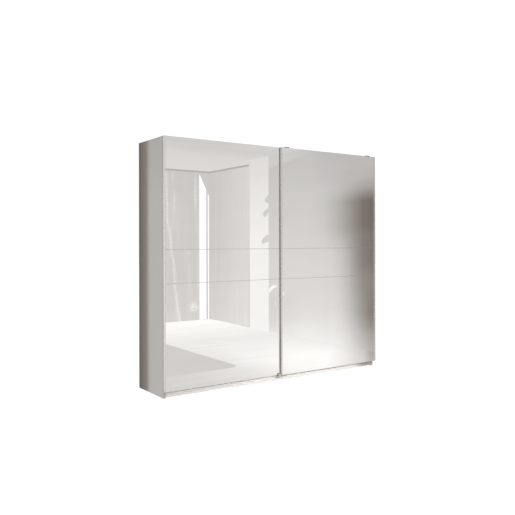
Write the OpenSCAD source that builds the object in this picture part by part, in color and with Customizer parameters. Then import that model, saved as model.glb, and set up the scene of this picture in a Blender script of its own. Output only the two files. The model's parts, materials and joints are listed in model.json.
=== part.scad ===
// Two-door sliding wardrobe. Both doors hang in front of the carcass on rollers that run in a
// double track on top of the top panel. The left door runs in the front channel, next to the
// carcass; the right door runs in front of it, on arms that reach over the left door.
// Origin: centre of the footprint, on the floor. +X to the right, +Y to the back, +Z up.

/* [Carcass] */
// Width over both side panels
carcass_w = 2260; // [2200:10:2700]
// Height from the floor to the top edge of the side panels
carcass_h = 2100; // [1950:10:2300]
// Depth of the side panels, without the doors
carcass_d = 490; // [450:10:600]
// Thickness of the side, top and bottom panels
panel_t = 22; // [20:1:25]
// Thickness of the partition between the two halves
partition_t = 18; // [16:1:22]
// Thickness of the two hat shelves
shelf_t = 18; // [16:1:22]
// Height of the top edge of the plinth above the floor
plinth_top = 46; // [40:1:48]
// Depth of the open recess between the top panel and the top edge of the sides
track_recess = 48; // [46:1:60]

/* [Doors] */
// Width of one door
door_w = 1140; // [1132:1:1300]
// Thickness of one door, with its mirrors
door_t = 22; // [20:1:26]
// Height of the lower edge of the doors above the floor
door_bottom = 57; // [55:1:70]
// Gap between the carcass and the back of the left door
carcass_gap = 4; // [3:0.5:6]
// Gap between the two doors, front to back
door_gap = 3; // [3:0.5:6]
// Inset of the left door from the left edge of the carcass
left_inset = 1; // [0:1:4]
// Inset of the right door from the right edge of the carcass
right_inset = 6; // [4:1:20]
// Height of the lower joint between the mirrors above the floor
lower_seam = 918; // [700:1:1000]
// Height of the upper joint between the mirrors above the floor
upper_seam = 1191; // [1100:1:1400]

/* [Interior] */
// Height of the underside of the hat shelves above the floor
shelf_height = 1700; // [1500:10:1800]
// Radius of the clothes rails
rail_r = 12.5; // [10:0.5:15]
// Drop of the rail's centre line below the hat shelf
rail_drop = 60; // [50:1:90]

/* [Running gear] */
// Radius of the roller flanges
roller_r = 13.5; // [13:0.5:14]
// Width of a roller
roller_w = 9; // [8:0.5:10]
// Distance of each roller from the end of its door
hanger_inset = 78; // [70:2:150]
// Height of the right door's arms above the top of the doors
arm_rise = 10; // [8:1:16]

/* [Hidden] */
$fn = 48;

// Colours
laminate = [0.74, 0.73, 0.71];
inner_laminate = [0.88, 0.87, 0.85];
edge_grey = [0.66, 0.65, 0.63];
mirror_grey = [0.82, 0.84, 0.84];
alu = [0.80, 0.80, 0.79];
steel = [0.55, 0.55, 0.56];
dark_steel = [0.28, 0.27, 0.26];
nylon = [0.20, 0.20, 0.20];
zinc = [0.70, 0.70, 0.68];

// Front-to-back positions
overall_d = carcass_d + carcass_gap + 2 * door_t + door_gap;
right_y = -overall_d / 2;
left_y = right_y + door_t + door_gap;
front_y = left_y + door_t + carcass_gap;
back_y = front_y + carcass_d;

// Side-to-side positions
half_w = carcass_w / 2;
inner_x = half_w - panel_t;
left_x = -half_w + left_inset;
right_x = half_w - right_inset - door_w;

// Heights
door_h = carcass_h - door_bottom;
top_z = carcass_h - track_recess;
floor_z = plinth_top + panel_t;
side_foot = 4;
plinth_foot = 10;

// Overlap that keeps joined or cut shapes from sharing a face
eps = 0.01;

// Boards
recess = 20;
plinth_t = 16;
plinth_rear_setback = 60;
back_t = 4;
back_inset = 6;
back_play = 0.5;
groove_play = 0.2;
groove_depth = 6;
back_front_y = back_y - back_inset - back_t;
strip_flange = 1;
strip_web = 2;
strip_w = 16;
strip_end_gap = 1;
partition_front = 2;
partition_back = back_front_y - strip_flange - 1;
shelf_front = 30;
shelf_play = 1;

// Clothes rails and their sockets
rail_y = front_y + carcass_d / 2;
rail_z = shelf_height - rail_drop;
rail_wall = 1.5;
rail_end_gap = 1;
socket_base = 2;
socket_depth = 12;
socket_wall = 2;
socket_lip_r = 27;
socket_screw_offset = 21.5;
socket_screw_in = 12;
socket_screw_zs = [rail_z - socket_screw_offset, rail_z + socket_screw_offset];

// Feet
glide_r = 10;
glide_inset = 40;
plinth_glide_r = 7.5;

// Fastenings
fit = 0.1;
cam_r = 7.4;
cam_h = 12.5;
cam_x = 34;
cam_ys = [60, carcass_d - 60];
cam_slot = 1.2;
cam_slot_depth = 2;
cam_play = 0.3;
cam_bolt_r = 3;
cam_bolt_in = 11;
cam_bolt_reach = 26;
cam_bolt_play = 0.5;
pin_r = 2.5;
pin_in = 9;
pin_out = 8;
pin_ys = [70, carcass_d - 70];
screw_r = 2;
screw_head_r = 3.8;
screw_head_h = 2.2;
partition_screw_ys = [80, carcass_d - 80];
partition_screw_len = 60;
partition_screw_in = 7;

// Door build-up
mirror_t = 4;
core_t = door_t - mirror_t;
slim_w = 8;
grip_w = 26;
grip_groove_w = 14;
grip_groove_d = 1.5;
rail_h = 24;
groove_w = 6;
guide_groove_d = 16;
groove_mid = mirror_t + core_t / 2;
seam_w = 3;
seam_set_back = 0.6;
mirror_gap = 0.4;
mirror_edge_gap = 1;
seal_t = 2;
seal_front = 13;
seal_play = 0.6;
seal_top_gap = 2;

// Track cross-section, measured back from the front of the carcass
track_base = 3;
track_wall = 2;
track_wall_h = 19;
track_front = 2;
track_depth = 54;
track_mid = 27;
track_end = inner_x - 2;
rib_w = 2;
rib_h = 2;

// Rollers and axles
roller_play = 0.3;
roller_groove = 1.8;
roller_edge = 0.6;
groove_floor = 1.3;
groove_mouth = 1.6;
axle_r = 3;
axle_play = 0.05;
axle_fit = 0.02;
rivet_r = 5;
rivet_h = 1.5;
wheel_gap = 1;
running_z = top_z + track_base + rib_h;
axle_z = running_z + roller_play + roller_r - roller_groove;

// Hangers; the legs are measured back from the front of the carcass
left_leg = 8;
right_leg = 34;
leg_t = 3;
leg_w = 30;
leg_below = 7;
plate_w = 60;
plate_h = 90;
arm_w = 46;
plate_drop = 10;
pocket_play = 0.3;
arm_t = 3;
hanger_xs = [hanger_inset, door_w - hanger_inset];
hanger_screw_dx = 20;
hanger_screw_zs = [40, 78];
hanger_screw_len = 12;
left_leg_y = front_y + left_leg - left_y;
right_leg_y = front_y + right_leg - right_y;
left_arm_z = door_h - plate_drop;
right_arm_z = door_h + arm_rise;

// Roller centre lines, measured back from the front of the carcass
wheel_centre = leg_t + wheel_gap + roller_w / 2;
left_line = left_leg + wheel_centre;
right_line = right_leg + wheel_centre;

// Track screws and end stops
track_screw_xs = [-1000, -500, 0, 500, 1000];
track_screw_gap = 2;
track_screw_ys = [track_front + track_wall + screw_head_r,
                  right_line + rib_w / 2 + track_screw_gap + screw_head_r];
track_screw_len = 16;
stop_len = 14;
stop_h = 16;
stop_gap = 2;
stop_play = 0.2;

// Bottom guide
guide_half = 44;
guide_plate_t = 4;
guide_fin_t = 4;
guide_fin_rise = 14;
guide_fin_top = door_bottom + guide_fin_rise;
guide_flange_t = 4;
guide_set_back = 2;
guide_flange_h = 18;
guide_screw_xs = [-32, 32];
guide_screw_z = plinth_top + 12;
guide_screw_len = 20;

// Wall brackets
bracket_t = 2;
bracket_w = 40;
bracket_leg = 40;
bracket_hole_r = 3;
bracket_hole_drop = 12;
bracket_xs = [-700, 700];
bracket_screw_y = 24;

// ---------- shared shapes ----------

// Box between two opposite corners
module box(lo, hi) translate(lo) cube(hi - lo);

// Cylinder along +X from a point
module rod_x(p, r, len) translate(p) rotate([0, 90, 0]) cylinder(r = r, h = len);

// Cylinder along +Y from a point
module rod_y(p, r, len) translate(p) rotate([-90, 0, 0]) cylinder(r = r, h = len);

// Countersunk wood screw, head at the origin, shank pointing down
module wood_screw(len) {
    cylinder(r1 = screw_r, r2 = screw_head_r, h = screw_head_h);
    translate([0, 0, -len]) cylinder(r = screw_r, h = len + eps);
}

// Clearance for a wood screw in the same place
module screw_hole(len) {
    cylinder(r1 = screw_r + fit, r2 = screw_head_r + fit, h = screw_head_h + eps);
    translate([0, 0, -len - fit]) cylinder(r = screw_r + fit, h = len + 2 * fit);
}

// Stretch of the back groove in a side panel; x is the panel's inner face
module back_groove(x0, x1, z0, z1)
    box([x0, back_front_y - groove_play, z0], [x1, back_front_y + back_t + groove_play, z1]);

// ---------- carcass ----------

// Holes that a side panel needs: cam bolts, shelf pins and rail socket screws.
// side is -1 for the left panel and 1 for the right one.
module side_holes(side) {
    inner = side * inner_x;
    for (y = cam_ys, z = [top_z - panel_t / 2, plinth_top + panel_t / 2])
        rod_x([inner - (side < 0 ? cam_bolt_in + fit : 0), front_y + y, z],
              cam_bolt_r + fit, cam_bolt_in + fit);
    for (y = pin_ys)
        rod_x([inner - (side < 0 ? pin_in + fit : 0), front_y + y, shelf_height - pin_r],
              pin_r + fit, pin_in + fit);
    for (z = socket_screw_zs)
        rod_x([inner - (side < 0 ? socket_screw_in + fit : 0), rail_y, z],
              screw_r + fit, socket_screw_in + fit);
}

module side_panel(side) {
    outer = side * half_w;
    inner = side * inner_x;
    difference() {
        box([min(outer, inner), front_y, side_foot], [max(outer, inner), back_y, carcass_h]);
        side_holes(side);
        back_groove(min(inner, inner + side * groove_depth), max(inner, inner + side * groove_depth),
                    floor_z - groove_depth, top_z - panel_t + groove_depth);
    }
}

module left_side() color(laminate) side_panel(-1);
module right_side() color(laminate) side_panel(1);

module centre_partition() color(inner_laminate)
    difference() {
        box([-partition_t / 2, front_y + partition_front, floor_z],
            [partition_t / 2, partition_back, top_z - panel_t]);
        for (side = [-1, 1], y = pin_ys)
            rod_x([side * partition_t / 2 - (side > 0 ? pin_in / 2 + fit : 0), front_y + y,
                   shelf_height - pin_r], pin_r + fit, pin_in / 2 + fit);
        for (side = [-1, 1], z = socket_screw_zs)
            rod_x([side * partition_t / 2 - (side > 0 ? partition_screw_in + fit : 0),
                   rail_y, z], screw_r + fit, partition_screw_in + fit);
        for (y = partition_screw_ys) {
            translate([0, front_y + y, top_z - screw_head_h]) screw_hole(partition_screw_len);
            translate([0, front_y + y, plinth_top + screw_head_h]) mirror([0, 0, 1])
                screw_hole(partition_screw_len);
        }
    }

// Panel between the sides with cam pockets in its underside
module crosspiece(y0, z0, z1) {
    difference() {
        box([-inner_x, front_y + y0, z0], [inner_x, back_y, z1]);
        for (side = [-1, 1], y = cam_ys) {
            translate([side * (inner_x - cam_x), front_y + y, z0 - eps])
                cylinder(r = cam_r + fit, h = cam_h + cam_play);
            rod_x([side > 0 ? inner_x - cam_x : -inner_x - eps, front_y + y, (z0 + z1) / 2],
                  cam_bolt_r + cam_bolt_play, cam_x + eps);
        }
        children();
    }
}

module top_panel() color(laminate)
    crosspiece(0, top_z - panel_t, top_z) {
        back_groove(-inner_x - 1, inner_x + 1, top_z - panel_t - 1, top_z - panel_t + groove_depth);
        for (x = track_screw_xs, y = track_screw_ys)
            translate([x, front_y + y, top_z + track_base - screw_head_h]) screw_hole(track_screw_len);
        for (y = partition_screw_ys)
            translate([0, front_y + y, top_z - screw_head_h]) screw_hole(partition_screw_len);
        for (x = bracket_xs)
            translate([x, back_y - bracket_screw_y, top_z + bracket_t - screw_head_h])
                screw_hole(track_screw_len);
    }

module bottom_panel() color(laminate)
    crosspiece(recess, plinth_top, floor_z) {
        back_groove(-inner_x - 1, inner_x + 1, floor_z - groove_depth, floor_z + 1);
        for (y = partition_screw_ys)
            translate([0, front_y + y, plinth_top + screw_head_h]) mirror([0, 0, 1])
                screw_hole(partition_screw_len);
        for (x = guide_screw_xs)
            translate([x, front_y + recess - guide_flange_t + screw_head_h, guide_screw_z])
                rotate([90, 0, 0]) screw_hole(guide_screw_len);
    }

module plinth_front() color(laminate)
    box([-inner_x, front_y, plinth_foot], [inner_x, front_y + plinth_t, plinth_top]);

module plinth_rear() color(laminate)
    box([-inner_x, back_y - plinth_rear_setback - plinth_t, plinth_foot],
        [inner_x, back_y - plinth_rear_setback, plinth_top]);

// One half of the hardboard back, from the partition's joint strip to a side panel's groove
module back_board(side) {
    x0 = side * (strip_web / 2 + back_play);
    x1 = side * (inner_x + groove_depth - back_play);
    box([min(x0, x1), back_front_y, floor_z - groove_depth + back_play],
        [max(x0, x1), back_front_y + back_t, top_z - panel_t + groove_depth - back_play]);
}

module back_board_left() color(inner_laminate) back_board(-1);
module back_board_right() color(inner_laminate) back_board(1);

// H-shaped plastic strip that joins the two back boards behind the partition
module back_joint_strip() color(alu)
    translate([0, 0, floor_z + strip_end_gap])
    linear_extrude(top_z - panel_t - floor_z - 2 * strip_end_gap) {
        translate([-strip_web / 2, back_front_y - groove_play - strip_flange])
            square([strip_web, back_t + 2 * (groove_play + strip_flange)]);
        for (y = [back_front_y - groove_play - strip_flange, back_front_y + back_t + groove_play])
            translate([-strip_w / 2, y]) square([strip_w, strip_flange]);
    }

// ---------- interior ----------

// side -1 is the left half, 1 the right half
module hat_shelf(side) {
    x0 = side * (partition_t / 2 + shelf_play);
    x1 = side * (inner_x - shelf_play);
    box([min(x0, x1), front_y + shelf_front, shelf_height],
        [max(x0, x1), partition_back, shelf_height + shelf_t]);
}
module hat_shelf_left() color(inner_laminate) hat_shelf(-1);
module hat_shelf_right() color(inner_laminate) hat_shelf(1);

module shelf_pins() color(zinc)
    for (side = [-1, 1], y = pin_ys) {
        rod_x([side > 0 ? inner_x - pin_out : -inner_x - pin_in, front_y + y, shelf_height - pin_r],
              pin_r, pin_in + pin_out);
        rod_x([side > 0 ? partition_t / 2 - pin_in / 2 : -partition_t / 2 - pin_out,
               front_y + y, shelf_height - pin_r], pin_r, pin_in / 2 + pin_out);
    }

// Cup that holds one end of a clothes rail; opens along +X from its fixing face at x = 0
module rail_socket() {
    difference() {
        union() {
            rotate([0, 90, 0]) cylinder(r = socket_lip_r, h = socket_base);
            rotate([0, 90, 0]) cylinder(r = rail_r + fit + socket_wall, h = socket_base + socket_depth);
        }
        translate([socket_base, 0, 0]) rotate([0, 90, 0])
            cylinder(r = rail_r + fit, h = socket_depth + 1);
        for (z = [-socket_screw_offset, socket_screw_offset])
            translate([-1, 0, z]) rotate([0, 90, 0]) cylinder(r = screw_r + fit, h = socket_base + 2);
    }
}

// Places its children at both ends of both rails, turned so that +X points into the compartment
module at_rail_ends()
    for (half = [-1, 1]) {
        translate([half * inner_x, rail_y, rail_z]) rotate([0, 0, half > 0 ? 180 : 0]) children();
        translate([half * partition_t / 2, rail_y, rail_z]) rotate([0, 0, half > 0 ? 0 : 180]) children();
    }

module rail_sockets() color(steel) at_rail_ends() rail_socket();

module socket_screws() color(zinc)
    for (half = [-1, 1], z = socket_screw_zs) {
        rod_x([half > 0 ? inner_x - socket_base : -inner_x - socket_screw_in, rail_y, z],
              screw_r, socket_screw_in + socket_base);
        rod_x([half > 0 ? partition_t / 2 - partition_screw_in : -partition_t / 2 - socket_base,
               rail_y, z], screw_r, partition_screw_in + socket_base);
        rod_x([half > 0 ? inner_x - socket_base - screw_head_h : -inner_x + socket_base, rail_y, z],
              screw_head_r, screw_head_h);
        rod_x([half > 0 ? partition_t / 2 + socket_base : -partition_t / 2 - socket_base - screw_head_h,
               rail_y, z], screw_head_r, screw_head_h);
    }

// Chrome tube between two sockets
module clothes_rail(half) {
    len = inner_x - partition_t / 2 - 2 * (socket_base + rail_end_gap);
    x0 = (half > 0 ? partition_t / 2 : -inner_x) + socket_base + rail_end_gap;
    difference() {
        rod_x([x0, rail_y, rail_z], rail_r, len);
        rod_x([x0 - 1, rail_y, rail_z], rail_r - rail_wall, len + 2);
    }
}
module clothes_rail_left() color(steel) clothes_rail(-1);
module clothes_rail_right() color(steel) clothes_rail(1);

// ---------- fastenings and feet ----------

module cam_locks() color(zinc)
    for (side = [-1, 1], y = cam_ys, z = [top_z - panel_t, plinth_top])
        translate([side * (inner_x - cam_x), front_y + y, z]) difference() {
            cylinder(r = cam_r, h = cam_h);
            translate([-cam_r, -cam_slot / 2, -eps]) cube([2 * cam_r, cam_slot, cam_slot_depth]);
        }

module cam_bolts() color(zinc)
    for (side = [-1, 1], y = cam_ys, z = [top_z - panel_t / 2, plinth_top + panel_t / 2])
        rod_x([side > 0 ? inner_x - cam_bolt_reach : -inner_x - cam_bolt_in, front_y + y, z],
              cam_bolt_r, cam_bolt_in + cam_bolt_reach);

module partition_screws() color(zinc)
    for (y = partition_screw_ys) {
        translate([0, front_y + y, top_z - screw_head_h]) wood_screw(partition_screw_len);
        translate([0, front_y + y, plinth_top + screw_head_h]) mirror([0, 0, 1])
            wood_screw(partition_screw_len);
    }

module floor_glides() color(nylon) {
    for (x = [-half_w + panel_t / 2, half_w - panel_t / 2], y = [glide_inset, carcass_d - glide_inset])
        translate([x, front_y + y, 0]) cylinder(r = glide_r, h = side_foot);
    for (x = [-inner_x / 2, 0, inner_x / 2],
         y = [front_y + plinth_t / 2, back_y - plinth_rear_setback - plinth_t / 2])
        translate([x, y, 0]) cylinder(r = plinth_glide_r, h = plinth_foot);
}

// Angle brackets that tie the top panel to the wall
module wall_brackets() color(steel)
    for (x = bracket_xs) difference() {
        union() {
            box([x - bracket_w / 2, back_y - bracket_leg, top_z],
                [x + bracket_w / 2, back_y, top_z + bracket_t]);
            box([x - bracket_w / 2, back_y - bracket_t, top_z],
                [x + bracket_w / 2, back_y, top_z + bracket_leg]);
        }
        translate([x, back_y - bracket_screw_y, top_z - 1])
            cylinder(r = screw_head_r + fit, h = bracket_t + 2);
        rod_y([x, back_y - bracket_t - 1, top_z + bracket_leg - bracket_hole_drop],
              bracket_hole_r, bracket_t + 2);
    }

module bracket_screws() color(zinc)
    for (x = bracket_xs)
        translate([x, back_y - bracket_screw_y, top_z + bracket_t - screw_head_h])
            wood_screw(track_screw_len);

// ---------- running track and bottom guide ----------

module top_track() color(alu)
    difference() {
        translate([-track_end, front_y, top_z]) rotate([90, 0, 90]) linear_extrude(2 * track_end) {
            translate([track_front, 0]) square([track_depth, track_base]);
            for (y = [track_front, track_mid, track_front + track_depth - track_wall])
                translate([y, 0]) square([track_wall, track_base + track_wall_h]);
            for (y = [left_line, right_line])
                translate([y - rib_w / 2, track_base - eps]) square([rib_w, rib_h + eps]);
        }
        for (x = track_screw_xs, y = track_screw_ys)
            translate([x, front_y + y, top_z + track_base - screw_head_h]) screw_hole(track_screw_len);
    }

module track_screws() color(zinc)
    for (x = track_screw_xs, y = track_screw_ys)
        translate([x, front_y + y, top_z + track_base - screw_head_h]) wood_screw(track_screw_len);

// End stops: one at each end of each channel, straddling its rib
module track_stops() color(nylon)
    for (x = [left_x + hanger_inset - leg_w / 2 - stop_gap - stop_len,
              right_x + door_w - hanger_inset + leg_w / 2 + stop_gap])
        for (channel = [[track_front + track_wall, track_mid, left_line],
                        [track_mid + track_wall, track_front + track_depth - track_wall, right_line]])
            difference() {
                box([x, front_y + channel[0] + stop_play, top_z + track_base],
                    [x + stop_len, front_y + channel[1] - stop_play, top_z + track_base + stop_h]);
                box([x - 1, front_y + channel[2] - rib_w / 2 - stop_play, top_z + track_base - 1],
                    [x + stop_len + 1, front_y + channel[2] + rib_w / 2 + stop_play,
                     top_z + track_base + rib_h + stop_play]);
            }

// Block under the overlap of the doors, with one upright fin in each door's lower groove
module bottom_guide() color(nylon)
    difference() {
        union() {
            box([-guide_half, right_y + guide_set_back, plinth_top],
                [guide_half, front_y + recess, plinth_top + guide_plate_t]);
            box([-guide_half, front_y + recess - guide_flange_t, plinth_top],
                [guide_half, front_y + recess, plinth_top + guide_flange_h]);
            for (y = [left_y, right_y])
                box([-guide_half, y + groove_mid - guide_fin_t / 2, plinth_top],
                    [guide_half, y + groove_mid + guide_fin_t / 2, guide_fin_top]);
        }
        for (x = guide_screw_xs)
            translate([x, front_y + recess - guide_flange_t + screw_head_h, guide_screw_z])
                rotate([90, 0, 0]) screw_hole(guide_screw_len);
    }

module guide_screws() color(zinc)
    for (x = guide_screw_xs)
        translate([x, front_y + recess - guide_flange_t + screw_head_h, guide_screw_z])
            rotate([90, 0, 0]) wood_screw(guide_screw_len);

// ---------- doors ----------
// Every door part is drawn with the door's lower left front corner at the origin, then placed.

module at_left_door() translate([left_x, left_y, door_bottom]) children();
module at_right_door() translate([right_x, right_y, door_bottom]) children();

// Pockets for the hanger plates and their screws in the back of the door
module hanger_pockets()
    for (x = hanger_xs) {
        box([x - plate_w / 2 - pocket_play, door_t - arm_t - fit, door_h - plate_h - pocket_play],
            [x + plate_w / 2 + pocket_play, door_t + 1, door_h + 1]);
        for (dx = [-hanger_screw_dx, hanger_screw_dx], dz = hanger_screw_zs)
            translate([x + dx, door_t - screw_head_h, door_h - dz]) rotate([-90, 0, 0])
                screw_hole(hanger_screw_len);
    }

// Groove for the bottom guide's fin, open along the whole lower edge
module guide_groove()
    box([-1, groove_mid - groove_w / 2, -1], [door_w + 1, groove_mid + groove_w / 2, guide_groove_d]);

module door_board()
    difference() {
        box([slim_w, mirror_t, rail_h], [door_w - grip_w, door_t, door_h - rail_h]);
        hanger_pockets();
    }

module door_mirror(z0, z1)
    box([slim_w + mirror_gap, 0, z0], [door_w - grip_w - mirror_gap, mirror_t, z1]);

module door_mirror_upper()
    door_mirror(upper_seam - door_bottom + seam_w / 2 + mirror_gap, door_h - mirror_edge_gap);
module door_mirror_middle()
    door_mirror(lower_seam - door_bottom + seam_w / 2 + mirror_gap,
                upper_seam - door_bottom - seam_w / 2 - mirror_gap);
module door_mirror_lower()
    door_mirror(mirror_edge_gap, lower_seam - door_bottom - seam_w / 2 - mirror_gap);

// Strips that cover the two joints between the mirrors
module door_seam_strips()
    for (z = [lower_seam, upper_seam])
        box([slim_w + mirror_gap, seam_set_back, z - door_bottom - seam_w / 2],
            [door_w - grip_w - mirror_gap, mirror_t, z - door_bottom + seam_w / 2]);

// Slim edge profile on the left edge of a door
module door_slim_profile()
    difference() {
        box([0, 0, 0], [slim_w, door_t, door_h]);
        guide_groove();
    }

// Wider edge profile on the right edge, with a shallow hollow to pull by
module door_grip_profile()
    difference() {
        box([door_w - grip_w, 0, 0], [door_w, door_t, door_h]);
        box([door_w - grip_w / 2 - grip_groove_w / 2, -1, -1],
            [door_w - grip_w / 2 + grip_groove_w / 2, grip_groove_d, door_h + 1]);
        guide_groove();
    }

module door_top_rail()
    difference() {
        box([slim_w, mirror_t, door_h - rail_h], [door_w - grip_w, door_t, door_h]);
        hanger_pockets();
    }

module door_bottom_rail()
    difference() {
        box([slim_w, mirror_t, 0], [door_w - grip_w, door_t, rail_h]);
        guide_groove();
    }

// Bent steel hanger: a plate let into the door's back, a narrower arm to the track and a leg with
// the axle hole. leg_y is the front of the leg behind the door's front face, arm_z the arm's top.
module hanger(leg_y, arm_z) {
    difference() {
        union() {
            box([-plate_w / 2, door_t - arm_t, door_h - plate_h],
                [plate_w / 2, door_t, door_h - plate_drop]);
            box([-arm_w / 2, door_t - arm_t, door_h - plate_drop - arm_t], [arm_w / 2, door_t, arm_z]);
            box([-arm_w / 2, door_t - arm_t, arm_z - arm_t], [arm_w / 2, leg_y + leg_t, arm_z]);
            box([-leg_w / 2, leg_y, axle_z - door_bottom - leg_below],
                [leg_w / 2, leg_y + leg_t, arm_z]);
        }
        rod_y([0, leg_y - 1, axle_z - door_bottom], axle_r + axle_fit, leg_t + 2);
        for (dx = [-hanger_screw_dx, hanger_screw_dx], dz = hanger_screw_zs)
            translate([dx, door_t - screw_head_h, door_h - dz]) rotate([-90, 0, 0])
                screw_hole(hanger_screw_len);
    }
}

module hangers(leg_y, arm_z) for (x = hanger_xs) translate([x, 0, 0]) hanger(leg_y, arm_z);

module hanger_screws()
    for (x = hanger_xs, dx = [-hanger_screw_dx, hanger_screw_dx], dz = hanger_screw_zs)
        translate([x + dx, door_t - screw_head_h, door_h - dz]) rotate([-90, 0, 0])
            wood_screw(hanger_screw_len);

// Riveted axle: a shank through the leg and the roller, and a head outside the roller
module axles(leg_y)
    for (x = hanger_xs) {
        rod_y([x, leg_y, axle_z - door_bottom], axle_r, leg_t + roller_w + 2 * wheel_gap);
        rod_y([x, leg_y + leg_t + roller_w + 2 * wheel_gap - eps, axle_z - door_bottom],
              rivet_r, rivet_h);
    }

// Nylon roller with a groove for the track's rib; its axis runs along Y
module roller(leg_y)
    translate([0, leg_y + leg_t + wheel_gap, axle_z - door_bottom]) rotate([-90, 0, 0])
        rotate_extrude() polygon([
            [axle_r + axle_play, 0],
            [roller_r - roller_edge, 0],
            [roller_r, roller_edge],
            [roller_r, roller_w / 2 - groove_mouth],
            [roller_r - roller_groove, roller_w / 2 - groove_floor],
            [roller_r - roller_groove, roller_w / 2 + groove_floor],
            [roller_r, roller_w / 2 + groove_mouth],
            [roller_r, roller_w - roller_edge],
            [roller_r - roller_edge, roller_w],
            [axle_r + axle_play, roller_w]
        ]);

module left_board() color(edge_grey) at_left_door() door_board();
module left_mirror_upper() color(mirror_grey) at_left_door() door_mirror_upper();
module left_mirror_middle() color(mirror_grey) at_left_door() door_mirror_middle();
module left_mirror_lower() color(mirror_grey) at_left_door() door_mirror_lower();
module left_slim_profile() color(alu) at_left_door() door_slim_profile();
module left_grip_profile() color(alu) at_left_door() door_grip_profile();
module left_top_rail() color(alu) at_left_door() door_top_rail();
module left_bottom_rail() color(alu) at_left_door() door_bottom_rail();
module left_seam_strips() color(edge_grey) at_left_door() door_seam_strips();
module left_hangers() color(dark_steel) at_left_door() hangers(left_leg_y, left_arm_z);
module left_hanger_screws() color(zinc) at_left_door() hanger_screws();
module left_axles() color(zinc) at_left_door() axles(left_leg_y);
module left_roller_a() color(nylon) at_left_door() translate([hanger_xs[0], 0, 0]) roller(left_leg_y);
module left_roller_b() color(nylon) at_left_door() translate([hanger_xs[1], 0, 0]) roller(left_leg_y);

module right_board() color(edge_grey) at_right_door() door_board();
module right_mirror_upper() color(mirror_grey) at_right_door() door_mirror_upper();
module right_mirror_middle() color(mirror_grey) at_right_door() door_mirror_middle();
module right_mirror_lower() color(mirror_grey) at_right_door() door_mirror_lower();
module right_slim_profile() color(alu) at_right_door() door_slim_profile();
module right_grip_profile() color(alu) at_right_door() door_grip_profile();
module right_top_rail() color(alu) at_right_door() door_top_rail();
module right_bottom_rail() color(alu) at_right_door() door_bottom_rail();
module right_seam_strips() color(edge_grey) at_right_door() door_seam_strips();
module right_hangers() color(dark_steel) at_right_door() hangers(right_leg_y, right_arm_z);
module right_hanger_screws() color(zinc) at_right_door() hanger_screws();
module right_axles() color(zinc) at_right_door() axles(right_leg_y);
module right_roller_a() color(nylon) at_right_door() translate([hanger_xs[0], 0, 0]) roller(right_leg_y);
module right_roller_b() color(nylon) at_right_door() translate([hanger_xs[1], 0, 0]) roller(right_leg_y);

// Dark lip on the left edge of the right door that closes the gap between the doors
module overlap_seal() color(nylon) at_right_door()
    box([-seal_t, seal_front, rail_h], [0, door_t + door_gap - seal_play, door_h - seal_top_gap]);

left_side();
right_side();
centre_partition();
top_panel();
bottom_panel();
plinth_front();
plinth_rear();
back_board_left();
back_board_right();
back_joint_strip();
hat_shelf_left();
hat_shelf_right();
shelf_pins();
clothes_rail_left();
clothes_rail_right();
rail_sockets();
socket_screws();
cam_locks();
cam_bolts();
partition_screws();
floor_glides();
wall_brackets();
bracket_screws();
top_track();
track_screws();
track_stops();
bottom_guide();
guide_screws();
left_board();
left_mirror_upper();
left_mirror_middle();
left_mirror_lower();
left_slim_profile();
left_grip_profile();
left_top_rail();
left_bottom_rail();
left_seam_strips();
left_hangers();
left_hanger_screws();
left_axles();
left_roller_a();
left_roller_b();
right_board();
right_mirror_upper();
right_mirror_middle();
right_mirror_lower();
right_slim_profile();
right_grip_profile();
right_top_rail();
right_bottom_rail();
right_seam_strips();
right_hangers();
right_hanger_screws();
right_axles();
right_roller_a();
right_roller_b();
overlap_seal();
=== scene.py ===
"""Looks of a two-door sliding wardrobe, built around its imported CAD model, and the studio it stands in.

Everything is in metres in the model's own frame: +X to the right, +Y from the doors to the back, +Z up.
"""

import json
import math

import bmesh
import bpy
from mathutils import Matrix, Vector

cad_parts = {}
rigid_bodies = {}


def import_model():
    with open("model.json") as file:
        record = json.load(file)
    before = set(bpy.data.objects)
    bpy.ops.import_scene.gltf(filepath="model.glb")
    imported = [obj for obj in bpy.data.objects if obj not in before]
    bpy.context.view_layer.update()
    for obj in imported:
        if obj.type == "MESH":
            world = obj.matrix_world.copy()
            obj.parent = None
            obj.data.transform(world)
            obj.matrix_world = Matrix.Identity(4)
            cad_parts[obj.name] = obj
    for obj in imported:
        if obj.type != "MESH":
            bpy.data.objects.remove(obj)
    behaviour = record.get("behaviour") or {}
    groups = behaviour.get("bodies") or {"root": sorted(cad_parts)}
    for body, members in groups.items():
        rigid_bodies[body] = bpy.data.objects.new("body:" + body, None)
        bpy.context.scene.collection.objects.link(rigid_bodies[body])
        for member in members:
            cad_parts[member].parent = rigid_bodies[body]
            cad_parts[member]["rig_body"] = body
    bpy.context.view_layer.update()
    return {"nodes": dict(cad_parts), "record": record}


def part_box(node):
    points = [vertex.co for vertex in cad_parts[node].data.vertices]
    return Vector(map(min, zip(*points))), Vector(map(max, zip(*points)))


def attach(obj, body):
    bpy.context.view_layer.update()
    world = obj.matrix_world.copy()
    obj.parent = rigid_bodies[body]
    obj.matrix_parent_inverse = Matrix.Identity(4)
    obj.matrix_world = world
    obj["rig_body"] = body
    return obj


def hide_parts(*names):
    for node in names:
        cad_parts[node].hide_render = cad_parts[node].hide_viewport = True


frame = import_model()

BODY = {name: node["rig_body"] for name, node in frame["nodes"].items()}
SLOT = {part["node"]: part["material_slot"] for part in frame["record"]["subparts"]}
MM = 0.001
# Points nearer to each other than this are welded
WELD = 1e-6


def new_object(name, data):
    """A mesh, light or camera as an object in the scene."""
    item = bpy.data.objects.new(name, data)
    bpy.context.scene.collection.objects.link(item)
    return item


# ---------- camera ----------

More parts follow.
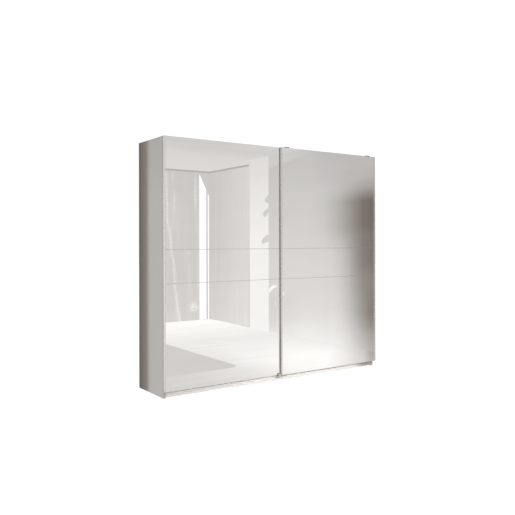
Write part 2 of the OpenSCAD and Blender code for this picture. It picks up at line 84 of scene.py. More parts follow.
def make_camera():
    """Eye-level camera in front of the wardrobe's left half, turned to the right."""
    place = (-3.2628, -4.9703, 1.254)
    yaw = math.radians(37.087)
    lean = math.radians(0.1227)
    forward = Vector((math.sin(yaw), math.cos(yaw), 0))
    level = Vector((math.cos(yaw), -math.sin(yaw), 0))
    right = level * math.cos(lean) - Vector((0, 0, math.sin(lean)))
    up = level * math.sin(lean) + Vector((0, 0, math.cos(lean)))
    data = bpy.data.cameras.new("camera")
    data.sensor_width = 36
    data.lens = 44.544
    data.shift_x = -0.1
    data.shift_y = -0.0311
    camera = new_object("camera", data)
    turn = Matrix((right, up, -forward)).transposed().to_4x4()
    camera.matrix_world = Matrix.Translation(place) @ turn
    bpy.context.scene.camera = camera


# ---------- materials ----------

class Field:
    """A node's output, such as a value that varies over a surface. Sums on it add Math nodes."""

    def __init__(self, graph, socket):
        self.graph = graph
        self.socket = socket

    def math(self, operation, *others):
        inputs = dict(enumerate((self, *others)))
        return self.graph.field(0, "Math", inputs, operation=operation)

    def __add__(self, other):
        return self.math("ADD", other)

    def __sub__(self, other):
        return self.math("SUBTRACT", other)

    def __mul__(self, other):
        return self.math("MULTIPLY", other)


class Graph:
    """The nodes of a material or a world."""

    def __init__(self, owner):
        owner.use_nodes = True
        self.nodes = owner.node_tree.nodes
        self.links = owner.node_tree.links

    def feed(self, socket, value):
        """Links a socket to a field, or sets it to a plain value."""
        if isinstance(value, Field):
            self.links.new(value.socket, socket)
        else:
            socket.default_value = value

    def add(self, kind, inputs=None, **attributes):
        """New node, with its inputs fed by name or number."""
        node = self.nodes.new("ShaderNode" + kind)
        for name, value in attributes.items():
            setattr(node, name, value)
        for name, value in (inputs or {}).items():
            self.feed(node.inputs[name], value)
        return node

    def field(self, output, kind, inputs=None, **attributes):
        """One output of a new node."""
        return Field(self, self.add(kind, inputs, **attributes).outputs[output])


# Every material by the name that it is made with
MATERIALS = {}


class Surface(Graph):
    """A Principled material made of procedural nodes in the piece's own coordinates, in metres."""

    def __init__(self, name, **settings):
        self.material = bpy.data.materials.new(name)
        MATERIALS[name] = self.material
        super().__init__(self.material)
        self.shader = self.nodes["Principled BSDF"]
        for socket, value in settings.items():
            self.feed(self.shader.inputs[socket.replace("_", " ")], value)
        self.position = self.field("Object", "TexCoord")

    def noise(self, scale, detail, stretch=(1, 1, 1)):
        """Noise from 0 to 1 with about scale features a metre, longer along each axis by stretch."""
        steps = [scale / s for s in stretch]
        place = self.field(0, "Mapping", {"Vector": self.position, "Scale": steps})
        return self.field("Fac", "TexNoise", {"Vector": place, "Scale": 1.0, "Detail": detail})

    def cells(self, scale):
        """Voronoi distance with about scale cells a metre."""
        return self.field("Distance", "TexVoronoi", {"Vector": self.position, "Scale": scale}, feature="F1")

    def waves(self, pitch, axis, distortion):
        """Sine waves from 0 to 1 along an axis, one every pitch metres."""
        texture = {"Vector": self.position, "Scale": math.pi / 10 / pitch, "Distortion": distortion}
        return self.field("Fac", "TexWave", texture, bands_direction=axis)

    def span(self, value, low, high, to_low=0.0, to_high=1.0):
        """Maps low..high to to_low..to_high, and holds at the ends."""
        inputs = {"Value": value, "From Min": low, "From Max": high, "To Min": to_low, "To Max": to_high}
        return self.field("Result", "MapRange", inputs)

    def blend(self, first, second, value, low=0.0, high=1.0, most=1.0):
        """Colour from first, where value is low, towards second, where it is high, up to a share of most."""
        first, second = (end if isinstance(end, Field) else (*end, 1) for end in (first, second))
        share = self.span(value, low, high, 0.0, most)
        return self.field(2, "Mix", {0: share, 6: first, 7: second}, data_type="RGBA")

    def colour(self, *ends_and_value):
        """Base colour as blend makes it."""
        self.feed(self.shader.inputs["Base Color"], self.blend(*ends_and_value))

    def roughness(self, value, least, most, low=0.3, high=0.7):
        """Roughness from least where the value is low to most where it is high."""
        self.feed(self.shader.inputs["Roughness"], self.span(value, low, high, least, most))

    def bump(self, height, distance, strength):
        normal = self.field(0, "Bump", {"Height": height, "Distance": distance, "Strength": strength})
        self.feed(self.shader.inputs["Normal"], normal)


def laminate():
    """Silver-grey melamine foil with a fine upright brushed grain and a satin sheen."""
    s = Surface("laminate", Metallic=0.5, Coat_Weight=0.25, Coat_Roughness=0.08)
    grain = s.noise(420, 4, (1, 1, 26))
    clouds = s.noise(5, 2)
    pores = s.noise(1500, 2)
    tone = s.blend((0.425, 0.408, 0.39), (0.47, 0.453, 0.435), grain, 0.3, 0.7)
    s.colour(tone, (0.437, 0.419, 0.399), clouds, 0.4, 0.75, 0.5)
    s.roughness(pores, 0.06, 0.1)
    s.bump(grain + pores, 0.00002, 0.4)


def inner_laminate():
    """Pale linen-look melamine of the partition and the shelves."""
    s = Surface("inner_laminate", Coat_Weight=0.3, Coat_Roughness=0.3)
    warp = s.waves(0.0016, "Z", 1.5) * s.noise(260, 3, (1, 1, 18))
    weft = s.waves(0.0016, "Y", 1.5) * s.noise(260, 3, (1, 18, 1))
    threads = warp + weft
    s.colour((0.66, 0.645, 0.62), (0.76, 0.745, 0.72), threads, 0.15, 0.8)
    s.roughness(s.noise(40, 3), 0.36, 0.5)
    s.bump(threads, 0.00006, 0.5)


def hardboard():
    """Lacquered hardboard back with a faint fibre pattern."""
    s = Surface("hardboard", Coat_Weight=0.2, Coat_Roughness=0.35)
    fibres = s.noise(180, 6, (1, 1, 2))
    flecks = s.cells(420)
    tone = s.blend((0.6, 0.585, 0.555), (0.7, 0.685, 0.655), fibres, 0.35, 0.68)
    s.colour(tone, (0.5, 0.48, 0.45), flecks, 0.14, 0.02, 0.35)
    s.roughness(fibres, 0.42, 0.6)
    s.bump(fibres, 0.0001, 0.5)


def white_plastic():
    """Extruded plastic with faint drawing lines."""
    s = Surface("white_plastic", IOR=1.46)
    lines = s.noise(900, 2, (1, 1, 60))
    s.colour((0.7, 0.69, 0.67), (0.77, 0.76, 0.74), lines, 0.3, 0.7)
    s.roughness(s.noise(60, 3), 0.34, 0.48)
    s.bump(lines, 0.00005, 0.4)


def metal(name, dark, light, rough, scale, stretch=(1, 1, 1), lift=0.00003):
    """A bare or plated metal: dark and light tones, a roughness range and its working marks."""
    s = Surface(name, Metallic=1.0)
    marks = s.noise(scale, 4, stretch)
    stains = s.noise(14, 3)
    tone = s.blend(dark, light, marks, 0.3, 0.7)
    s.colour(tone, dark, stains, 0.55, 0.8, 0.5)
    s.roughness(marks + stains, *rough, 0.7, 1.3)
    s.bump(marks, lift, 0.5)


def dark_steel():
    """Dark powder-coated steel of the door hangers, rubbed brighter in patches."""
    s = Surface("dark_steel", Metallic=0.35, Coat_Weight=0.15, Coat_Roughness=0.4)
    grain = s.noise(1400, 2)
    rub = s.noise(36, 4)
    s.colour((0.045, 0.042, 0.039), (0.1, 0.094, 0.088), rub, 0.45, 0.75)
    s.roughness(grain, 0.38, 0.55)
    s.bump(grain, 0.00008, 0.6)


def nylon(name, dark, light):
    """Moulded nylon with a fine eroded grain."""
    s = Surface(name, IOR=1.53)
    grain = s.noise(1700, 3)
    s.colour(dark, light, s.noise(50, 3), 0.35, 0.7)
    s.roughness(grain, 0.42, 0.58)
    s.bump(grain, 0.00006, 0.5)


def seal():
    """Lip seal: a pale foot on the profile, and a dark pile of short upright hairs behind it."""
    s = Surface("seal", Sheen_Weight=0.4, Sheen_Roughness=0.4)
    hairs = s.noise(2600, 2, (6, 6, 1))
    front, back = (corner.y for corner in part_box("overlap_seal"))
    depth = s.field("Y", "SeparateXYZ", {"Vector": s.position})
    pile_start, pile_full = 0.7 * front + 0.3 * back, 0.55 * front + 0.45 * back
    tone = s.blend((0.78, 0.765, 0.74), (0.16, 0.15, 0.14), depth, pile_start, pile_full)
    s.colour(tone, (0.3, 0.285, 0.27), hairs, 0.4, 0.75, 0.25)
    s.roughness(hairs, 0.7, 0.9)
    s.bump(hairs, 0.0001, 0.5)


def door_board():
    """Grey paper-faced particle board at the back of the doors."""
    s = Surface("door_board", Coat_Weight=0.15, Coat_Roughness=0.4)
    chips = s.cells(260)
    fine = s.noise(900, 4)
    tone = s.blend((0.37, 0.36, 0.345), (0.44, 0.43, 0.41), fine, 0.3, 0.7)
    s.colour(tone, (0.31, 0.3, 0.285), chips, 0.2, 0.02, 0.4)
    s.roughness(fine, 0.42, 0.58)
    s.bump(fine + chips, 0.00006, 0.5)


def mirror():
    """Silvered mirror glass with a breath of wiping streaks."""
    s = Surface("mirror", Metallic=1.0)
    wipes = s.noise(9, 4, (3, 1, 1))
    dust = s.noise(700, 2)
    s.colour((0.872, 0.872, 0.866), (0.888, 0.888, 0.882), wipes, 0.35, 0.65)
    s.roughness(wipes + dust, 0.004, 0.014, 0.8, 1.2)


def mirror_edge():
    """Ground edge of the mirror glass, slightly green."""
    s = Surface("mirror_edge", IOR=1.5, Specular_IOR_Level=0.6)
    grind = s.noise(1200, 2, (1, 1, 8))
    s.colour((0.5, 0.56, 0.53), (0.62, 0.67, 0.645), grind, 0.3, 0.7)
    s.roughness(grind, 0.25, 0.4)


def mirror_back():
    """Grey protective paint on the back of the mirror glass."""
    s = Surface("mirror_back", IOR=1.45)
    orange_peel = s.noise(500, 2)
    s.colour((0.2, 0.215, 0.225), (0.25, 0.265, 0.275), orange_peel, 0.3, 0.7)
    s.roughness(orange_peel, 0.4, 0.55)
    s.bump(orange_peel, 0.00008, 0.4)


def make_materials():
    for make in (laminate, inner_laminate, hardboard, white_plastic, dark_steel, seal, door_board, mirror,
                 mirror_edge, mirror_back):
        make()
    nylon("nylon", (0.035, 0.034, 0.033), (0.06, 0.058, 0.056))
    nylon("pale_nylon", (0.52, 0.51, 0.495), (0.6, 0.59, 0.575))
    metal("zinc_steel", (0.5, 0.5, 0.48), (0.66, 0.66, 0.64), (0.3, 0.45), 220)
    metal("bright_steel", (0.5, 0.5, 0.49), (0.64, 0.64, 0.63), (0.28, 0.42), 160)
    metal("chrome", (0.72, 0.72, 0.73), (0.78, 0.78, 0.79), (0.05, 0.12), 90, (30, 1, 1), 1e-6)
    metal("aluminium", (0.62, 0.62, 0.61), (0.76, 0.76, 0.75), (0.26, 0.4), 700, (90, 1, 1))
    metal("door_aluminium", (0.75, 0.745, 0.735), (0.8, 0.795, 0.785), (0.24, 0.3), 500, (1, 1, 120), 8e-6)


make_materials()


# ---------- mesh work ----------

def welded(node):
    """Copy of a CAD node's mesh, with its doubled points welded and its flat faces merged."""
    bm = bmesh.new()
    bm.from_mesh(frame["nodes"][node].data)
    bmesh.ops.remove_doubles(bm, verts=bm.verts, dist=WELD)
    flat = math.radians(0.2)
    bmesh.ops.dissolve_limit(bm, angle_limit=flat, verts=bm.verts, edges=bm.edges)
    return bm


def solids(node):
    """Box (lowest corner, highest corner) of each separate solid in a CAD node, from low to high X."""
    bm = welded(node)
    left = set(bm.verts)
    boxes = []
    while left:
        island = [left.pop()]
        for vert in island:
            for edge in vert.link_edges:
                other = edge.other_vert(vert)
                if other in left:
                    left.remove(other)
                    island.append(other)
        corners = [[pick(v.co[i] for v in island) for i in range(3)] for pick in (min, max)]
        boxes.append((Vector(corners[0]), Vector(corners[1])))
    bm.free()
    return sorted(boxes, key=lambda box: tuple(round(c, 5) for c in (*box[0], *box[1])))


def block(low, high, edge, segments=2):
    """Board between two corners with every edge rounded by edge metres."""
    bm = bmesh.new()
    size = high - low
    place = Matrix.Translation((low + high) / 2) @ Matrix.Diagonal((*size, 1))
    bmesh.ops.create_cube(bm, size=1, matrix=place)
    bmesh.ops.bevel(bm, geom=bm.edges[:], offset=edge, segments=segments, profile=0.5, affect="EDGES")
    return bm


def corner_arc(before, here, after, radius, steps):
    """Points of the arc that rounds the corner at here, between its neighbours on a flat outline."""
    here = Vector(here)
    back = (Vector(before) - here).normalized()
    ahead = (Vector(after) - here).normalized()
    half = back.angle(ahead) / 2
    centre = here + (back + ahead).normalized() * radius / math.sin(half)
    spoke = here + back * radius / math.tan(half) - centre
    turn = (math.pi - 2 * half) * (1 if back.cross(ahead) < 0 else -1)
    return [centre + Matrix.Rotation(turn * k / steps, 2) @ spoke for k in range(steps + 1)]


def rounded(corners, steps=4):
    """Closed outline through corners (u, v, radius), with an arc at each that has a radius."""
    points = []
    for i, (u, v, radius) in enumerate(corners):
        if radius == 0:
            points.append(Vector((u, v)))
        else:
            before, after = corners[i - 1], corners[(i + 1) % len(corners)]
            points += corner_arc(before[:2], (u, v), after[:2], radius, steps)
    return points


def extrusion(outline, start, end, axis):
    """Prism along an axis. The outline lies in the next two axes, (y, z), (z, x) or (x, y)."""
    along = "XYZ".index(axis)
    bm = bmesh.new()
    ring = []
    for pair in outline:
        spot = [0.0, 0.0, 0.0]
        spot[along] = start
        spot[(along + 1) % 3], spot[(along + 2) % 3] = pair
        ring.append(bm.verts.new(spot))
    grown = bmesh.ops.extrude_face_region(bm, geom=[bm.faces.new(ring)])["geom"]
    shift = Vector([end - start if i == along else 0 for i in range(3)])
    bmesh.ops.translate(bm, vec=shift, verts=[g for g in grown if isinstance(g, bmesh.types.BMVert)])
    return bm


def lathe(outline, steps=32):
    """Solid of revolution about Z from a closed outline (radius, height)."""
    bm = bmesh.new()
    ring = [bm.verts.new((radius, 0, height)) for radius, height in outline]
    edges = [bm.edges.new(pair) for pair in zip(ring, ring[1:] + ring[:1])]
    turn = {"cent": (0, 0, 0), "axis": (0, 0, 1), "angle": 2 * math.pi, "steps": steps}
    bmesh.ops.spin(bm, geom=ring + edges, use_duplicate=False, **turn)
    bmesh.ops.remove_doubles(bm, verts=bm.verts, dist=WELD)
    axis = [e for e in bm.edges if not e.link_faces]
    bmesh.ops.delete(bm, geom=axis, context="EDGES")
    return bm


def finished(bm, name):
    """Mesh from a bmesh, which is freed, with its faces turned outwards."""
    mesh = bpy.data.meshes.new(name)
    bmesh.ops.recalc_face_normals(bm, faces=bm.faces)
    bm.to_mesh(mesh)
    bm.free()
    return mesh


def joined(parts):
    """One mesh from several, each moved by its matrix."""
    bm = bmesh.new()
    for part, matrix in parts:
        mesh = finished(part, "joined")
        mesh.transform(matrix)
        bm.from_mesh(mesh)
        bpy.data.meshes.remove(mesh)
    return bm


def carve(bm, tool, operation="DIFFERENCE"):
    """Cuts a closed mesh out of another, or keeps what they share."""
    pair = [new_object("carve", finished(part, "carve")) for part in (bm, tool)]
    modifier = pair[0].modifiers.new("carve", "BOOLEAN")
    modifier.solver = "EXACT"
    modifier.operation = operation
    modifier.object = pair[1]
    cut = bmesh.new()
    cut.from_object(pair[0], bpy.context.evaluated_depsgraph_get())
    for item in pair:
        # This removes the object too
        bpy.data.meshes.remove(item.data)
    bmesh.ops.remove_doubles(cut, verts=cut.verts, dist=WELD)
    bmesh.ops.delete(cut, geom=[edge for edge in cut.edges if not edge.link_faces], context="EDGES")
    return cut


def turned(direction, place=(0, 0, 0)):
    """Matrix that carries +Z to a direction and the origin to a place."""
    turn = Vector((0, 0, 1)).rotation_difference(Vector(direction)).to_matrix().to_4x4()
    return Matrix.Translation(place) @ turn


def strap(corners, thickness, centre, bend, end_radius, steps=5):
    """Bent sheet metal about x = centre. Corners (y, z, half width) lie on its middle layer."""
    line = []
    for i, (y, z, half) in enumerate(corners):
        here = Vector((y, z))
        if 0 < i < len(corners) - 1:
            before, after = Vector(corners[i - 1][:2]), Vector(corners[i + 1][:2])
            straight = abs((before - here).normalized().cross((after - here).normalized())) < 0.01
            arc_points = [here] if straight else corner_arc(before, here, after, bend, steps)
            line += [(point, half) for point in arc_points]
            continue
        inward = (Vector(corners[1 if i == 0 else -2][:2]) - here).normalized()
        tip = []
        for k in range(steps + 1):
            turn = math.pi / 2 * k / steps
            away = end_radius * (1 - math.cos(turn))
            tip.append((here + inward * away, half - end_radius * (1 - math.sin(turn))))
        line += tip if i == 0 else tip[::-1]
    bm = bmesh.new()
    rings = []
    for i, (point, half) in enumerate(line):
        run = (line[min(i + 1, len(line) - 1)][0] - line[max(i - 1, 0)][0]).normalized()
        offset = Vector((-run.y, run.x)) * thickness / 2
        sides = [(-half, offset), (half, offset), (half, -offset), (-half, -offset)]
        rings.append([bm.verts.new((centre + x, *(point + push))) for x, push in sides])
    for first, second in zip(rings, rings[1:]):
        for k in range(4):
            bm.faces.new((first[k], first[(k + 1) % 4], second[(k + 1) % 4], second[k]))
    for end in (rings[0], rings[-1]):
        bm.faces.new(end)
    return bm


def add_piece(node, make, bm, materials=None):
    """Turns a bmesh into the piece node_make, which stands for a CAD node, with its body and finish."""
    smooth_angle = math.radians(35)
    name = f"{node}_{make}"
    mesh = finished(bm, name)
    mesh.shade_smooth()
    mesh.set_sharp_from_angle(angle=smooth_angle)
    piece = new_object(name, mesh)
    flatten = piece.modifiers.new("flatten", "WEIGHTED_NORMAL")
    flatten.keep_sharp = True
    flatten.weight = 100
    for material in materials or [SLOT[node]]:
        mesh.materials.append(MATERIALS[material])
    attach(piece, BODY[node])
    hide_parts(node)
    return piece


def soften(node, edge):
    """A CAD node's own shape, with the outer edges of each of its solids rounded by edge metres."""
    shell = joined([(block(low, high, edge), Matrix()) for low, high in solids(node)])
    add_piece(node, "eased", carve(welded(node), shell, "INTERSECT"))


def turnings(node, axis, edge):
    """Round pins with eased ends in place of each cylinder of a CAD node."""
    along = "XYZ".index(axis)
    parts = []
    for low, high in solids(node):
        size = high - low
        radius, length = size[(along + 1) % 3] / 2, size[along]
        outline = rounded([(0, 0, 0), (radius, 0, edge), (radius, length, edge), (0, length, 0)])
        foot = (low + high) / 2
        foot[along] = low[along]
        parts.append((lathe(outline), turned([i == along for i in range(3)], foot)))
    add_piece(node, "turned", joined(parts))


# ---------- fasteners ----------

UP = (0, 0, 1)
DOWN = (0, 0, -1)
FORWARD = (0, -1, 0)
BACK = (0, 1, 0)
HEAD_H = 2.2 * MM
# Radius of a screw's shank for each unit of its head's radius
SHANK_SHARE = 0.526


def spots(node, heading):
    """For each solid of a CAD node: (matrix with +Z out of its head, its length, its width).

    The heading of +Z is a direction, or a function of the solid's middle.
    """
    found = []
    for low, high in solids(node):
        middle, size = (low + high) / 2, high - low
        way = Vector(heading(middle) if callable(heading) else heading)
        length = abs(size.dot(way))
        width = min(side for side, part in zip(size, way) if part == 0)
        found.append((turned(way, middle + way * length / 2), length, width))
    return found


def cross_slot(wing, half, depth, edge):
    """Tool that cuts a cross, with arms of length wing and half width half, to a depth below z = 0."""
    arms = [block(Vector((-u, -v, -depth)), Vector((u, v, MM)), edge, 1)
            for u, v in ((wing, half), (half, wing))]
    return carve(*arms, "UNION")


def screw(head_r, length, flat_head=True):
    """Cross-recessed wood screw: top of the head at z = 0, point down."""
    shank_r, pitch = SHANK_SHARE * head_r, 1.8 * MM
    core_r = 0.74 * shank_r
    if flat_head:
        outline = [(0, 0), (0.95 * head_r, 0), (head_r, -0.15 * HEAD_H)]
    else:
        outline = [(0, 0), (0.6 * head_r, 0), (0.88 * head_r, -0.25 * HEAD_H), (head_r, -0.7 * HEAD_H),
                   (head_r, -HEAD_H)]
    outline.append((shank_r, -HEAD_H))
    top = -HEAD_H - 0.2 * (length - HEAD_H)
    for k in range(int((length - 2 * shank_r + top) / pitch)):
        z = top - k * pitch
        outline += [(shank_r, z), (core_r, z - 0.3 * pitch), (core_r, z - 0.7 * pitch)]
    outline += [(core_r, 1.5 * shank_r - length), (0.15 * shank_r, -length), (0, -length)]
    return carve(lathe(outline, 20), cross_slot(0.55 * head_r, 0.13 * head_r, 0.6 * HEAD_H, 0.08 * MM))


def seat(head_r, depth):
    """Countersunk hole for a screw in the same place."""
    play = 0.1 * MM
    mouth_r, hole_r = head_r + play, SHANK_SHARE * head_r + play
    return lathe([(0, MM), (mouth_r, MM), (mouth_r, 0), (hole_r, -HEAD_H), (hole_r, -depth), (0, -depth)], 24)


def seats(node, heading):
    """Holes for all the screws of a CAD node, through the thin metal that they hold."""
    depth = 8 * MM
    return joined([(seat(width / 2, depth), matrix) for matrix, length, width in spots(node, heading)])


def screws(node, heading, flat_head=True):
    """Threaded screws in place of a CAD node's plain ones."""
    parts = [(screw(width / 2, length, flat_head), matrix) for matrix, length, width in spots(node, heading)]
    add_piece(node, "crosshead", joined(parts))


def out_of_panel(middle):
    """Way from a side panel or the partition into the compartment beside it."""
    outwards = 1 if middle.x > 0 else -1
    return (-outwards if abs(middle.x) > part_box("right_side")[0].x / 2 else outwards, 0, 0)


def away_from_middle(middle):
    """Way up in the wardrobe's upper half, and down in its lower half."""
    return UP if middle.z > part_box("centre_partition")[1].z / 2 else DOWN


# ---------- carcass ----------

def rail_sockets():
    """Flanged cups for the clothes rails, open on the compartment's side."""
    parts = []
    for matrix, depth, width in spots("rail_sockets", out_of_panel):
        flange_r, base, cup_r, bore_r = width / 2, 2 * MM, 14.5 * MM, 12.6 * MM
        outline = rounded([
            (0, -depth, 0), (flange_r, -depth, 0), (flange_r, base - depth, 0.9 * MM),
            (cup_r, base - depth, 2 * MM), (cup_r, 0, 0.6 * MM), (bore_r, 0, 0.6 * MM),
            (bore_r, base - depth, 0.5 * MM), (0, base - depth, 0),
        ])
        screw_x, head_r = 0.796 * flange_r, 3.8 * MM
        holes = joined([(seat(head_r, 2 * base), Matrix.Translation((x, 0, base - depth)))
                        for x in (-screw_x, screw_x)])
        parts.append((carve(lathe(outline, 48), holes), matrix))
    add_piece("rail_sockets", "pressed", joined(parts))


def clothes_rail(node):
    """Chrome tube with rolled ends."""
    low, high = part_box(node)
    length, radius, wall = high.x - low.x, (high.z - low.z) / 2, 1.5 * MM
    outline = rounded([(radius - wall, 0, 0.5 * MM), (radius, 0, 0.7 * MM), (radius, length, 0.7 * MM),
                       (radius - wall, length, 0.5 * MM)])
    foot = Vector((low.x, (low.y + high.y) / 2, (low.z + high.z) / 2))
    add_piece(node, "tube", joined([(lathe(outline, 56), turned((1, 0, 0), foot))]))


def cam_locks():
    """Cam fastener housings with a raised rim and a cross slot."""
    parts = []
    for matrix, depth, width in spots("cam_locks", DOWN):
        radius, dish = width / 2, 0.5 * MM
        outline = rounded([
            (0, -dish, 0), (radius - 1.4 * MM, -dish, 0.2 * MM), (radius - 1.1 * MM, 0, 0.2 * MM),
            (radius, 0, 0.4 * MM), (radius, -depth, 0.5 * MM), (0, -depth, 0),
        ])
        parts.append((carve(lathe(outline), cross_slot(3.6 * MM, 0.6 * MM, 2.4 * MM, 0.1 * MM)), matrix))
    add_piece("cam_locks", "slotted", joined(parts))


def wall_brackets():
    """Folded angle brackets on top of the wardrobe, with their holes."""
    thickness, hole_r, hole_drop = 2 * MM, 3 * MM, 12 * MM
    parts = []
    for low, high in solids("wall_brackets"):
        middle, half = (low.x + high.x) / 2, (high.x - low.x) / 2
        foot_z, back_y = low.z + thickness / 2, high.y - thickness / 2
        leg = [(low.y, foot_z, half), (back_y, foot_z, half), (back_y, high.z, half)]
        hole = lathe([(0, -MM), (hole_r, -MM), (hole_r, 2 * thickness), (0, 2 * thickness)], 24)
        spot = (middle, high.y - 1.5 * thickness, high.z - hole_drop)
        bent = strap(leg, thickness, middle, 2.5 * MM, 6 * MM)
        parts.append((carve(bent, joined([(hole, turned(BACK, spot))])), Matrix()))
    add_piece("wall_brackets", "folded", carve(joined(parts), seats("bracket_screws", UP)))


def top_track():
    """Double running track: three walls with rolled lips, and a rib for each door's rollers."""
    low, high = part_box("top_track")
    base, wall, lip, cove = low.z + 3 * MM, 2 * MM, 0.8 * MM, 0.9 * MM
    outline = [(low.y, low.z, 0.4 * MM), (high.y, low.z, 0.4 * MM), (high.y, high.z, lip),
               (high.y - wall, high.z, lip), (high.y - wall, base, cove)]
    rib_half, rib_top, lane = MM, base + 2 * MM, 23 * MM
    middle_wall = low.y + wall + lane
    for roller, after in (("right_roller_a", middle_wall + wall), ("left_roller_a", low.y + wall)):
        rib = (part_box(roller)[0].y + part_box(roller)[1].y) / 2
        outline += [(rib + rib_half, base, 0.3 * MM), (rib + rib_half, rib_top, 0.6 * MM),
                    (rib - rib_half, rib_top, 0.6 * MM), (rib - rib_half, base, 0.3 * MM),
                    (after, base, cove), (after, high.z, lip), (after - wall, high.z, lip)]
        if after > low.y + wall:
            outline.append((after - wall, base, cove))
    rail = extrusion(rounded(outline), low.x, high.x, "X")
    add_piece("top_track", "extruded", carve(rail, seats("track_screws", UP)))


# ---------- doors ----------

def mirror_field(node):
    """Mirror glass with ground edges, silver behind its face and paint on its back."""
    low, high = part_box(node)
    bm = block(low, high, 0.25 * MM, 1)
    for face in bm.faces:
        facing = face.normal.y
        face.material_index = 0 if facing < -0.99 else 2 if facing > 0.99 else 1
    add_piece(node, "glass", bm, ["mirror", "mirror_edge", "mirror_back"])


def edge_profile(node, wall, hollow_w, hollow_d):
    """Hollow upright of a door, with a scooped front where it is pulled by, open over the bottom guide."""
    low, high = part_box(node)
    lip = 1.1 * MM
    outline = [(low.x, low.y, lip)]
    if hollow_w:
        middle, shore = (low.x + high.x) / 2, 1.2 * MM
        outline += [(middle - hollow_w / 2, low.y, shore),
                    (middle - hollow_w / 2 + 2 * hollow_d, low.y + hollow_d, 2 * shore),
                    (middle + hollow_w / 2 - 2 * hollow_d, low.y + hollow_d, 2 * shore),
                    (middle + hollow_w / 2, low.y, shore)]
    outline += [(high.x, low.y, lip), (high.x, high.y, lip), (low.x, high.y, lip)]
    shell = extrusion(rounded(outline), low.z, high.z, "Z")
    front = low.y + hollow_d + wall
    inside = [(low.x + wall, front, wall / 2), (high.x - wall, front, wall / 2),
              (high.x - wall, high.y - wall, wall / 2), (low.x + wall, high.y - wall, wall / 2)]
    shell = carve(shell, extrusion(rounded(inside), low.z - wall, high.z + wall, "Z"))
    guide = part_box("bottom_guide")[1].z
    slot_top, slot_half, slot_depth_share = guide + 2 * MM, 3 * MM, 13 / 22
    slot_y = low.y + (high.y - low.y) * slot_depth_share
    slot = block(Vector((low.x - wall, slot_y - slot_half, low.z - wall)),
                 Vector((high.x + wall, slot_y + slot_half, slot_top)), 0.2 * MM, 1)
    add_piece(node, "extruded", carve(shell, slot))


def seam_strips(node):
    """Joint strips between the mirror fields, with eased front edges."""
    parts = []
    for low, high in solids(node):
        bead = 0.2 * (high.z - low.z)
        outline = rounded([(low.y, low.z, bead), (high.y, low.z, 0.2 * MM), (high.y, high.z, 0.2 * MM),
                           (low.y, high.z, bead)])
        parts.append((extrusion(outline, low.x, high.x, "X"), Matrix()))
    add_piece(node, "beaded", joined(parts))


def hangers(door):
    """Bent steel hangers: a plate let into the door, a shoulder, an arm over the track and a leg."""
    node = door + "_hangers"
    thickness, bend = 3 * MM, 3.2 * MM
    arm_half, leg_half, end_r = 23 * MM, 15 * MM, 5 * MM
    shoulder_drop, leg_below_axle = 12 * MM, 7 * MM
    door_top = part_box(door + "_top_rail")[1].z
    axle_w = 5.9 * MM
    axle_z = sum(c.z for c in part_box(door + "_roller_a")) / 2
    parts = []
    for low, high in solids(node):
        middle, plate_half = (low.x + high.x) / 2, (high.x - low.x) / 2
        plate_y, leg_y, arm_z = low.y + thickness / 2, high.y - thickness / 2, high.z - thickness / 2
        shoulder = min(door_top - shoulder_drop, arm_z - 2 * bend)
        line = [(plate_y, low.z, plate_half), (plate_y, shoulder, plate_half),
                (plate_y, shoulder + 2 * MM, arm_half), (plate_y, arm_z, arm_half),
                (leg_y, arm_z, leg_half), (leg_y, axle_z - leg_below_axle, leg_half)]
        hole = lathe([(0, -bend), (axle_w / 2, -bend), (axle_w / 2, bend), (0, bend)], 24)
        spot = turned(BACK, (middle, leg_y, axle_z))
        parts.append((carve(strap(line, thickness, middle, bend, end_r), joined([(hole, spot)])), Matrix()))
    holes = seats(door + "_hanger_screws", BACK)
    add_piece(node, "bent", carve(joined(parts), holes))


def axles(node):
    """Riveted axles with a shoulder and a domed head."""
    parts = []
    for matrix, length, width in spots(node, BACK):
        head_r, shank_r, head_h = width / 2, 3 * MM, 1.5 * MM
        outline = rounded([(0, 0, 0), (0.75 * head_r, 0, 0.8 * MM), (head_r, -head_h, 0.2 * MM),
                           (shank_r, -head_h, 0), (shank_r, -length, 0.4 * MM), (0, -length, 0)])
        parts.append((lathe(outline), matrix))
    add_piece(node, "riveted", joined(parts))


def roller(node):
    """Nylon roller with lips on both sides of its running groove, on a shielded ball bearing."""
    low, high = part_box(node)
    radius, half = (high.z - low.z) / 2, (high.y - low.y) / 2
    bore, bearing = 3.05 * MM, 7.2 * MM
    mouth, floor, depth, web = 1.7 * MM, 1.3 * MM, 1.8 * MM, 0.9 * MM
    place = turned(BACK, (low + high) / 2)
    side = [(bearing, half - web, 0), (bearing + 1.2 * MM, half - web, 0.4 * MM),
            (bearing + 1.6 * MM, half, 0.4 * MM), (radius, half, 0.7 * MM), (radius, mouth, 0.4 * MM),
            (radius - depth, floor, 0.4 * MM)]
    tyre = rounded(side + [(r, -h, lip) for r, h, lip in reversed(side)])
    add_piece(node, "tyre", joined([(lathe(tyre, 64), place)]))
    ring, rim = half - web - 0.3 * MM, 0.25 * MM
    face = [(bore, ring, 0.2 * MM), (bore + 1.1 * MM, ring, 0.2 * MM), (bore + 1.1 * MM, ring - 0.6 * MM, 0),
            (bearing - 1.2 * MM, ring - 0.6 * MM, 0), (bearing - 1.2 * MM, ring, 0.2 * MM),
            (bearing - 0.01 * MM, ring, rim)]
    race = rounded(face + [(r, -h, lip) for r, h, lip in reversed(face)])
    bearing_piece = add_piece(node, "bearing", joined([(lathe(race, 48), place)]), ["zinc_steel"])


